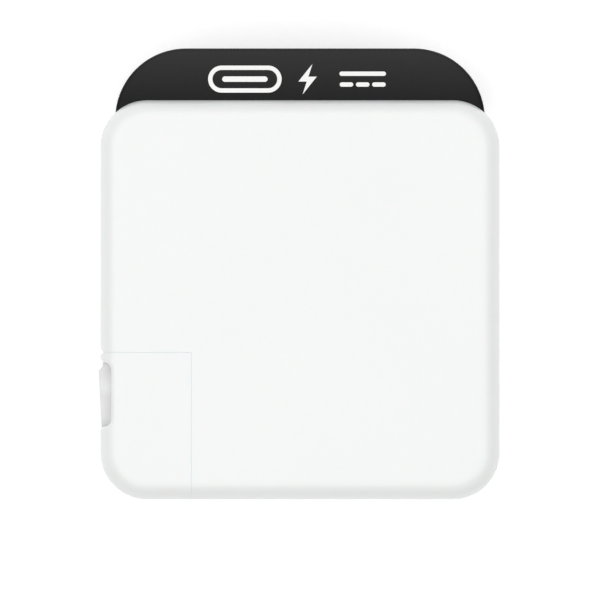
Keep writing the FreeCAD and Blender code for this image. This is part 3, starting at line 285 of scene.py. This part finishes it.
def rgba(r, g, b):
    """An opaque colour."""
    return (r, g, b, 1.0)


def finished(name, tree_group, inputs, **shader):
    """A material whose colour, roughness and relief come from a group, with the rest set on its shader."""
    material = bpy.data.materials.new(name)
    material.use_nodes = True
    tree = material.node_tree
    principled = tree.nodes["Principled BSDF"]
    effect = tree.nodes.new("ShaderNodeGroup")
    effect.node_tree = tree_group
    for label, given in inputs.items():
        effect.inputs[label].default_value = given
    tree.links.new(effect.outputs["Colour"], principled.inputs["Base Color"])
    tree.links.new(effect.outputs["Roughness"], principled.inputs["Roughness"])
    tree.links.new(effect.outputs["Normal"], principled.inputs["Normal"])
    for label, given in shader.items():
        principled.inputs[label.replace("_", " ")].default_value = given
    return material


def plastic(name, colour, shade, roughness, grain=0.2 * MM, depth=0.08, scuffs=0.05, **shader):
    """Moulded plastic, with faint patches of its second colour."""
    inputs = {
        "Colour": rgba(*colour),
        "Shade": rgba(*shade),
        "Grain Size": grain,
        "Grain Depth": depth,
        "Roughness": roughness,
        "Scuffs": scuffs,
    }
    return finished(name, SKIN, inputs, **shader)


def metal(name, colour, clouding, roughness, lines):
    """Bare metal, whose lines run the way that their scale is smallest."""
    inputs = {
        "Colour": rgba(*colour),
        "Clouding": rgba(*clouding),
        "Line Scale": lines,
        "Line Depth": 0.1,
        "Roughness": roughness,
    }
    return finished(name, METAL, inputs, Metallic=1.0)


def grainy(name, colour, fleck, roughness, size, depth):
    """Sintered, laminated or potted stuff with flecks of a second colour."""
    inputs = {
        "Colour": rgba(*colour),
        "Fleck": rgba(*fleck),
        "Fleck Size": size,
        "Roughness": roughness,
        "Depth": depth,
    }
    return finished(name, SPECKLE, inputs)


def table_paper():
    """Bright matt paper, lit a little from below like a light table."""
    material = bpy.data.materials.new("table_paper")
    material.use_nodes = True
    tree = material.node_tree
    principled = tree.nodes["Principled BSDF"]
    place = put(tree, "ShaderNodeTexCoord").outputs["Object"]
    shade = ramp(tree, noise(tree, place, 900.0, 4.0), 0.3, 0.7, 0.90, 0.94)
    tree.links.new(shade, principled.inputs["Base Color"])
    principled.inputs["Roughness"].default_value = 0.9
    principled.inputs["Emission Color"].default_value = rgba(1, 1, 1)
    principled.inputs["Emission Strength"].default_value = 0.3
    return material


def effect_of(material):
    """The outputs of the group that gives a material its colour, roughness and relief."""
    return next(item for item in material.node_tree.nodes if item.type == "GROUP").outputs


# Share of the cap's colour that the painted shade leaves at the white casing.
PAINTED_SHADE_AT_CASING = 0.14


def shaded_cap():
    """Dark moulded plastic with painted shade: its colour darkens from the cap's outer end towards the
    white casing.
    """
    material = plastic(
        "dark_cap",
        (0.0245, 0.0245, 0.0248),
        (0.0228, 0.0228, 0.0231),
        0.42,
        grain=0.14 * MM,
        depth=0.75,
        scuffs=0.12,
        Specular_IOR_Level=0.15,
    )
    tree = material.node_tree
    place = put(tree, "ShaderNodeTexCoord").outputs["Object"]
    along = put(tree, "ShaderNodeSeparateXYZ", {0: place}).outputs["Y"]
    inner_end, outer_end = face_high.y, cad_high.y
    # Painted shade: the colour is full at the cap's outer end and scaled down to the inner share at the
    # white casing.
    strength = ramp(tree, along, inner_end, outer_end, PAINTED_SHADE_AT_CASING, 1.0)
    painted_shade_inputs = {0: effect_of(material)["Colour"], "Scale": strength}
    painted_shade_colour = put(tree, "ShaderNodeVectorMath", painted_shade_inputs, operation="SCALE").outputs[0]
    tree.links.new(painted_shade_colour, tree.nodes["Principled BSDF"].inputs["Base Color"])
    return material


def track_runs(tree, place, turn, pitch):
    """Rows of long thin tracks, side by side, turned to run along or across the board."""
    turned = put(tree, "ShaderNodeMapping", {"Vector": place, "Rotation": (0, 0, turn)}).outputs[0]
    rows = {
        "Vector": turned,
        "Scale": 1.0,
        "Mortar Size": 0.16 * MM,
        "Mortar Smooth": 0.1,
        "Brick Width": 11 * MM,
        "Row Height": pitch,
    }
    return put(tree, "ShaderNodeTexBrick", rows).outputs["Fac"]


def board_laminate():
    """Green solder mask over copper tracks, with tinned pads where joints sit."""
    green, pale = (0.010, 0.085, 0.030), (0.013, 0.10, 0.036)
    material = grainy("circuit_board", green, pale, 0.32, 0.5 * MM, 0.06)
    tree = material.node_tree
    laminate = effect_of(material)
    place = put(tree, "ShaderNodeTexCoord").outputs["Object"]
    across = track_runs(tree, place, 0.0, 1.4 * MM)
    along = track_runs(tree, place, math.pi / 2, 1.9 * MM)
    side = arithmetic(tree, "GREATER_THAN", noise(tree, place, 130.0, 1.0), 0.5)
    tracks = put(tree, "ShaderNodeMix", {0: side, 2: across, 3: along}, data_type="FLOAT").outputs[0]
    tracked = blend(tree, tracks, laminate["Colour"], rgba(0.035, 0.19, 0.06))

    spots = {"Vector": place, "Scale": 260.0, "Randomness": 0.35}
    pads = ramp(tree, put(tree, "ShaderNodeTexVoronoi", spots).outputs["Distance"], 0.17, 0.15)
    padded = blend(tree, pads, tracked, rgba(0.72, 0.72, 0.7))
    relief = arithmetic(tree, "ADD", tracks, pads)
    raised = bump(tree, relief, 0.4, 0.03 * MM, laminate["Normal"])
    principled = tree.nodes["Principled BSDF"]
    tree.links.new(padded, principled.inputs["Base Color"])
    tree.links.new(pads, principled.inputs["Metallic"])
    tree.links.new(raised, principled.inputs["Normal"])
    return material


# ---- the adapter's finishes ----

ALONG_X, ALONG_Y, ALONG_Z = (200, 6000, 6000), (9000, 300, 9000), (9000, 9000, 400)

FINISHES = {
    "white_casing": plastic(
        "white_casing",
        (0.86, 0.875, 0.868),
        (0.85, 0.867, 0.86),
        0.30,
        grain=0.5 * MM,
        depth=0.03,
        scuffs=0.03,
        Coat_Weight=0.25,
        Coat_Roughness=0.08,
        Subsurface_Weight=0.08,
        Subsurface_Scale=1.2 * MM,
    ),
    "dark_cap": shaded_cap(),
    "circuit_board": board_laminate(),
}

# name: colour, second colour, roughness
PLASTICS = {
    "contact_plastic": ((0.02, 0.02, 0.021), (0.028, 0.028, 0.03), 0.5),
    "rotor_plastic": ((0.74, 0.75, 0.745), (0.71, 0.72, 0.715), 0.45),
    "nose_plastic": ((0.72, 0.73, 0.725), (0.69, 0.70, 0.695), 0.5),
    "inlet_plastic": ((0.55, 0.56, 0.56), (0.52, 0.53, 0.53), 0.5),
    "sleeve_film": ((0.014, 0.022, 0.055), (0.02, 0.03, 0.07), 0.3),
    "bobbin_plastic": ((0.03, 0.03, 0.03), (0.04, 0.04, 0.04), 0.5),
    "tape_yellow": ((0.75, 0.48, 0.03), (0.7, 0.43, 0.02), 0.25),
    "fuse_case": ((0.03, 0.028, 0.026), (0.045, 0.042, 0.04), 0.45),
    "disc_blue": ((0.02, 0.08, 0.32), (0.015, 0.06, 0.26), 0.25),
    "disc_green": ((0.02, 0.11, 0.06), (0.015, 0.09, 0.05), 0.25),
    "lead_rubber": ((0.22, 0.012, 0.01), (0.17, 0.01, 0.01), 0.55),
    "lead_rubber_dark": ((0.012, 0.012, 0.014), (0.02, 0.02, 0.022), 0.55),
    "film_amber": ((0.42, 0.16, 0.015), (0.36, 0.13, 0.01), 0.2),
    "printed_ink": ((0.92, 0.92, 0.91), (0.88, 0.88, 0.87), 0.55),
}
for name, look in PLASTICS.items():
    FINISHES[name] = plastic(name, *look)

# name: colour, clouding, roughness, direction of the lines
METALS = {
    "port_steel": ((0.62, 0.62, 0.63), (0.52, 0.52, 0.54), 0.24, ALONG_Y),
    "gold_contact": ((0.83, 0.58, 0.22), (0.75, 0.5, 0.17), 0.2, ALONG_Y),
    "nickel_blade": ((0.55, 0.552, 0.552), (0.52, 0.522, 0.522), 0.32, ALONG_Y),
    "stud_steel": ((0.60, 0.60, 0.61), (0.48, 0.48, 0.5), 0.25, ALONG_X),
    "spring_bronze": ((0.72, 0.43, 0.22), (0.6, 0.33, 0.15), 0.3, ALONG_X),
    "can_aluminium": ((0.78, 0.79, 0.8), (0.7, 0.71, 0.72), 0.3, ALONG_Z),
    "copper_wire": ((0.66, 0.22, 0.08), (0.5, 0.15, 0.05), 0.28, ALONG_Z),
    "spreader_aluminium": ((0.72, 0.73, 0.74), (0.62, 0.63, 0.65), 0.35, ALONG_X),
}
for name, look in METALS.items():
    FINISHES[name] = metal(name, *look)

# name: colour, fleck, roughness, fleck size, depth
GRAINS = {
    "chip_epoxy": ((0.016, 0.016, 0.017), (0.03, 0.03, 0.032), 0.6, 0.1 * MM, 0.25),
    "ferrite": ((0.035, 0.034, 0.035), (0.07, 0.068, 0.07), 0.6, 0.2 * MM, 0.3),
    "film_capacitor": ((0.42, 0.44, 0.46), (0.36, 0.38, 0.4), 0.5, 0.4 * MM, 0.1),
    "pad_grey": ((0.22, 0.25, 0.3), (0.27, 0.3, 0.35), 0.8, 0.3 * MM, 0.2),
}
for name, look in GRAINS.items():
    FINISHES[name] = grainy(name, *look)


# ---- making pieces ----

FLAT_DEGREES = 0.3
SHARP_DEGREES = 32


def moulded_edges(piece, width):
    """Rounds the sharp edges of a CAD piece by a hair and evens out its shading, as modifiers only."""
    weld = piece.modifiers.new("weld", "WELD")
    weld.merge_threshold = 0.001 * MM
    flats = piece.modifiers.new("flats", "DECIMATE")
    flats.decimate_type = "DISSOLVE"
    flats.angle_limit = math.radians(FLAT_DEGREES)
    rounding = piece.modifiers.new("rounding", "BEVEL")
    rounding.width = width
    rounding.segments = 3
    rounding.limit_method = "ANGLE"
    rounding.angle_limit = math.radians(SHARP_DEGREES)
    rounding.miter_outer = "MITER_ARC"
    rounding.use_clamp_overlap = True
    even = piece.modifiers.new("even_shading", "WEIGHTED_NORMAL")
    even.weight = 100


def add_piece(name, mesh, finish):
    """A new piece from a finished mesh, riding on the adapter, with its finish."""
    item = bpy.data.objects.new(name, mesh)
    bpy.context.collection.objects.link(item)
    mesh.materials.append(FINISHES[finish])
    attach(item, "adapter")
    return item


def curve_mesh(curve):
    """The mesh that a curve makes; the curve itself isn't kept."""
    maker = bpy.data.objects.new("curve_maker", curve)
    bpy.context.collection.objects.link(maker)
    mesh = bpy.data.meshes.new_from_object(maker.evaluated_get(bpy.context.evaluated_depsgraph_get()))
    bpy.data.objects.remove(maker)
    return mesh


def rounded_rectangle(half_x, half_y, bend, steps):
    """Points round a rectangle with round corners, in order, from its right side."""
    same = 0.0001 * MM
    points = []
    for quarter, (side_x, side_y) in enumerate(((1, 1), (-1, 1), (-1, -1), (1, -1))):
        for step in range(steps + 1):
            angle = (quarter + step / steps) * math.pi / 2
            x = side_x * (half_x - bend) + bend * math.cos(angle)
            y = side_y * (half_y - bend) + bend * math.sin(angle)
            if not points or math.dist(points[-1], (x, y)) > same:
                points.append((x, y))
    return points


# ---- port pictogram ----

CAP_DROP = 3.0 * MM
INK = 0.02 * MM
STROKE = 0.8 * MM
PORT_SIGN = (13.6 * MM, 5.0 * MM)
PORT_BAR = (8.4 * MM, 1.0 * MM)
PILL_STEPS = 14
BOLT = ((0.9, 2.8), (-1.7, -0.45), (-0.15, -0.45), (-0.9, -2.8), (1.7, 0.45), (0.15, 0.45))
CURRENT_BAR = 8.6 * MM
CURRENT_DASH = 2.5 * MM
DASH_PITCH = 3.0 * MM
CURRENT_SPREAD = 1.0 * MM
PORT_X, BOLT_X, CURRENT_X = -10.2 * MM, 1.4 * MM, 11.6 * MM
PICTOGRAM_Y = (face_high.y + cad_high.y) / 2 - 0.9 * MM


def pill(x, y, width, height):
    """Outline of a bar with round ends."""
    loop = rounded_rectangle(width / 2, height / 2, min(width, height) / 2, PILL_STEPS)
    return [(x + along, y + up) for along, up in loop]


def port_pictogram():
    """White print on the cap: the port's outline, a bolt for power, and the sign for direct current."""
    y = PICTOGRAM_Y
    width, height = PORT_SIGN
    outlines = [
        pill(PORT_X, y, width, height),
        pill(PORT_X, y, width - 2 * STROKE, height - 2 * STROKE),
        pill(PORT_X, y, *PORT_BAR),
        pill(CURRENT_X, y + CURRENT_SPREAD, CURRENT_BAR, STROKE),
    ]
    for side in (-1, 0, 1):
        outlines.append(pill(CURRENT_X + side * DASH_PITCH, y - CURRENT_SPREAD, CURRENT_DASH, STROKE))
    outlines.append([(BOLT_X + along * MM, y + up * MM) for along, up in BOLT])

    curve = bpy.data.curves.new("pictogram_outlines", "CURVE")
    curve.dimensions = "2D"
    curve.fill_mode = "BOTH"
    curve.extrude = INK
    for outline in outlines:
        spline = curve.splines.new("POLY")
        spline.points.add(len(outline) - 1)
        for point, corner in zip(spline.points, outline):
            point.co = (*corner, 0, 1)
        spline.use_cyclic_u = True
    mesh = curve_mesh(curve)
    mesh.transform(Matrix.Translation((0, 0, FRONT - CAP_DROP)))
    item = add_piece("port_pictogram", mesh, "printed_ink")


# ---- windings ----

CHOKE_TURNS = 7.5
CHOKE_HALF_SPAN = 62
CHOKE_WIRE_SHARE = 0.92
CHOKE_LIFT = 1.05
TURN_POINTS = 18
TRANSFORMER_WIRE = 0.37 * MM
TRANSFORMER_LAYERS = 4
OUTER_INSET = 1.2
BOBBIN_CORNER = 2.2 * MM
BEND_STEPS = 3


def wire(name, paths, radius, node):
    """Enamelled wire along its paths, in place of the plain winding."""
    curve = bpy.data.curves.new(name, "CURVE")
    curve.dimensions = "3D"
    curve.bevel_depth = radius
    curve.bevel_resolution = 3
    curve.resolution_u = 2
    curve.use_fill_caps = True
    for path in paths:
        spline = curve.splines.new("NURBS")
        spline.points.add(len(path) - 1)
        for point, corner in zip(spline.points, path):
            point.co = (*corner, 1)
        spline.order_u = 3
        spline.use_endpoint_u = True
    mesh = curve_mesh(curve)
    for face in mesh.polygons:
        face.use_smooth = True
    item = add_piece(name, mesh, "copper_wire")
    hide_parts(node)


def choke_turns():
    """Two windings of heavy wire, one on each half of the ring core."""
    low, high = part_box("choke_core")
    middle = (low + high) / 2
    section = (high.z - low.z) / 2
    ring = (high.x - low.x) / 2 - section
    outer_low, outer_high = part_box("choke_windings")
    radius = ((outer_high.z - outer_low.z) / 2 - section) / 2 * CHOKE_WIRE_SHARE
    reach = section + radius * CHOKE_LIFT
    count = int(CHOKE_TURNS * TURN_POINTS)
    paths = []
    for facing in (0, 180):
        path = []
        for step in range(count + 1):
            share = step / count
            round_ring = math.radians(facing + CHOKE_HALF_SPAN * (2 * share - 1))
            round_core = 2 * math.pi * CHOKE_TURNS * share - math.pi / 2
            out = ring + reach * math.cos(round_core)
            point = (out * math.cos(round_ring), out * math.sin(round_ring), reach * math.sin(round_core))
            path.append(middle + Vector(point))
        paths.append(path)
    wire("choke_turns", paths, radius, "choke_windings")


def transformer_turns():
    """Layers of wire wound up and down the bobbin, each layer a wire's width outside the last."""
    low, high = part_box("transformer_winding")
    middle = (low + high) / 2
    radius = TRANSFORMER_WIRE
    turns = int((high.z - low.z) / (2 * radius))
    pitch = (high.z - low.z - 2 * radius) / turns
    path = []
    for layer in range(TRANSFORMER_LAYERS):
        inset = radius * (OUTER_INSET + 2 * (TRANSFORMER_LAYERS - 1 - layer))
        bend = max(BOBBIN_CORNER - inset, 2 * radius)
        half_x, half_y = (high.x - low.x) / 2 - inset, (high.y - low.y) / 2 - inset
        loop = rounded_rectangle(half_x, half_y, bend, BEND_STEPS)
        for turn in range(turns):
            for step, (x, y) in enumerate(loop):
                rise = radius + pitch * (turn + step / len(loop))
                z = low.z + rise if layer % 2 == 0 else high.z - rise
                path.append(Vector((middle.x + x, middle.y + y, z)))
    wire("transformer_turns", [path], radius, "transformer_winding")


# ---- the adapter ----

camera()
studio()

for name, piece in nodes.items():
    for material_slot in piece.material_slots:
        material_slot.material = FINISHES[slot_of[name]]

# millimetres that each piece's sharp edges are rounded by
SOFT_EDGES = {
    "port_cap": 0.15,
    "inlet_housing": 0.12,
    "plug_base": 0.2,
    "front_blade": 0.5,
    "rear_blade": 0.5,
    "usb_c_shell": 0.05,
    "lock_stud": 0.12,
}
for name, width in SOFT_EDGES.items():
    moulded_edges(nodes[name], width * MM)

port_pictogram()
choke_turns()
transformer_turns()
